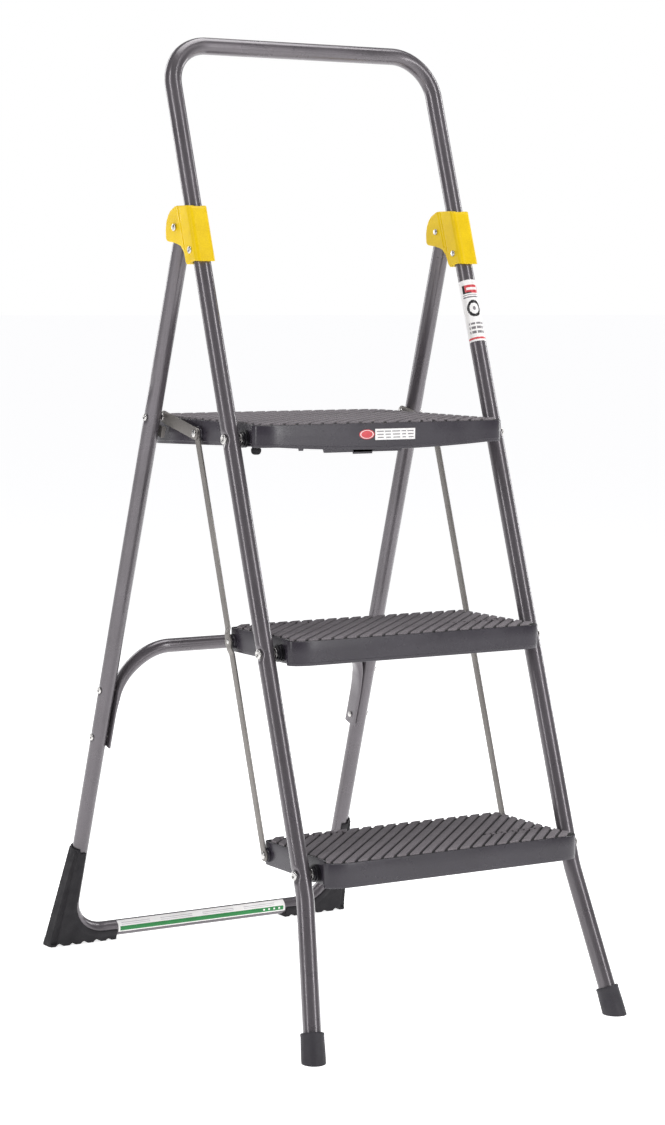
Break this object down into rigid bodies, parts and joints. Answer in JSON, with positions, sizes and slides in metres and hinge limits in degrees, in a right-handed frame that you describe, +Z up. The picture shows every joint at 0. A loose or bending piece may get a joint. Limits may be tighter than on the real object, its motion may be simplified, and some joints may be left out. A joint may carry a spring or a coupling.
{
  "type": "folding step stool",
  "caption": "Folding step stool with a bent tube front frame and handle hoop, a hinged rear frame, moulded steps on pivots and flat link bars.",
  "frame": {"origin": "on the floor under the middle of the open stool", "axes": "+Z up, +Y towards the rear frame, +X to the right seen from the front"},
  "size_m": [0.487, 0.7244, 1.2429],
  "materials": {
    "grey_paint": "semi-gloss warm grey powder coat on round steel tube",
    "grey_bar": "semi-gloss light warm grey coat on flat steel bar",
    "charcoal_plastic": "moulded charcoal plastic, satin skirts and ribbed matt tread",
    "yellow_plastic": "bright yellow moulded plastic, satin",
    "black_rubber": "matt black rubber",
    "black_nylon": "matt black nylon",
    "zinc": "bright zinc plate on small steel rivets"
  },
  "bodies": {
    "front_frame": {"front_frame_tube": "grey_paint", "front_foot_left": "black_rubber", "front_foot_right": "black_rubber", "hinge_bracket_left": "yellow_plastic", "hinge_bracket_right": "yellow_plastic", "hinge_rivet_left": "zinc", "hinge_rivet_right": "zinc", "bracket_rivet_left": "zinc", "bracket_rivet_right": "zinc", "platform_pivot_left": "zinc", "platform_spacer_left": "black_nylon", "platform_washer_left": "zinc", "platform_pivot_right": "zinc", "platform_spacer_right": "black_nylon", "platform_washer_right": "zinc", "middle_step_pivot_left": "zinc", "middle_step_spacer_left": "black_nylon", "middle_step_washer_left": "zinc", "middle_step_pivot_right": "zinc", "middle_step_spacer_right": "black_nylon", "middle_step_washer_right": "zinc", "bottom_step_pivot_left": "zinc", "bottom_step_spacer_left": "black_nylon", "bottom_step_washer_left": "zinc", "bottom_step_pivot_right": "zinc", "bottom_step_spacer_right": "black_nylon", "bottom_step_washer_right": "zinc"},
    "platform": {"platform": "charcoal_plastic", "platform_link_rivet_left": "zinc", "platform_link_rivet_right": "zinc", "platform_bumper": "black_rubber"},
    "middle_step": {"middle_step": "charcoal_plastic", "middle_step_link_rivet_left": "zinc", "middle_step_link_rivet_right": "zinc"},
    "bottom_step": {"bottom_step": "charcoal_plastic", "bottom_step_link_rivet_left": "zinc", "bottom_step_link_rivet_right": "zinc"},
    "rear_frame": {"rear_frame_tube": "grey_paint", "rear_brace": "grey_paint", "rear_boot_left": "black_rubber", "brace_rivet_upper_left": "zinc", "brace_rivet_lower_left": "zinc", "leg_rivet_left": "zinc", "stop_tab_left": "grey_bar", "rear_boot_right": "black_rubber", "brace_rivet_upper_right": "zinc", "brace_rivet_lower_right": "zinc", "leg_rivet_right": "zinc", "stop_tab_right": "grey_bar"},
    "link_left": {"link_bar_left": "grey_bar"},
    "link_right": {"link_bar_right": "grey_bar"},
    "spreader_left": {"spreader_left": "grey_bar", "spreader_stud_left": "zinc"},
    "spreader_right": {"spreader_right": "grey_bar", "spreader_stud_right": "zinc"}
  },
  "joints": [
    {"name": "platform_fold", "type": "hinge", "parent": "front_frame", "child": "platform", "pos_m": [0, -0.09811, 0.7324], "axis": [1, 0, 0], "range_deg": [0, 61]},
    {"name": "middle_step_fold", "type": "hinge", "parent": "front_frame", "child": "middle_step", "pos_m": [0, -0.18627, 0.4724], "axis": [1, 0, 0], "range_deg": [0, 61]},
    {"name": "bottom_step_fold", "type": "hinge", "parent": "front_frame", "child": "bottom_step", "pos_m": [0, -0.27443, 0.2124], "axis": [1, 0, 0], "range_deg": [0, 61]},
    {"name": "rear_frame_fold", "type": "hinge", "parent": "front_frame", "child": "rear_frame", "pos_m": [0, 0.02416, 0.9971], "axis": [1, 0, 0], "range_deg": [-35.61, 0]},
    {"name": "link_left_turn", "type": "hinge", "parent": "platform", "child": "link_left", "pos_m": [0, 0.01989, 0.7338], "axis": [1, 0, 0], "range_deg": [-61, 0]},
    {"name": "link_right_turn", "type": "hinge", "parent": "platform", "child": "link_right", "pos_m": [0, 0.01989, 0.7338], "axis": [1, 0, 0], "range_deg": [-61, 0]},
    {"name": "spreader_left_turn", "type": "hinge", "parent": "platform", "child": "spreader_left", "pos_m": [0, 0.01989, 0.7338], "axis": [1, 0, 0], "range_deg": [-171.01, 0]},
    {"name": "spreader_right_turn", "type": "hinge", "parent": "platform", "child": "spreader_right", "pos_m": [0, 0.01989, 0.7338], "axis": [1, 0, 0], "range_deg": [-171.01, 0]}
  ],
  "couplings": [
    {"joint": "middle_step_fold", "follows": "platform_fold", "ratio": 1},
    {"joint": "bottom_step_fold", "follows": "platform_fold", "ratio": 1},
    {"joint": "rear_frame_fold", "follows": "platform_fold", "ratio": -0.58361},
    {"joint": "link_left_turn", "follows": "platform_fold", "ratio": -1},
    {"joint": "link_right_turn", "follows": "platform_fold", "ratio": -1},
    {"joint": "spreader_left_turn", "follows": "platform_fold", "ratio": -2.8033},
    {"joint": "spreader_right_turn", "follows": "platform_fold", "ratio": -2.8033}
  ]
}
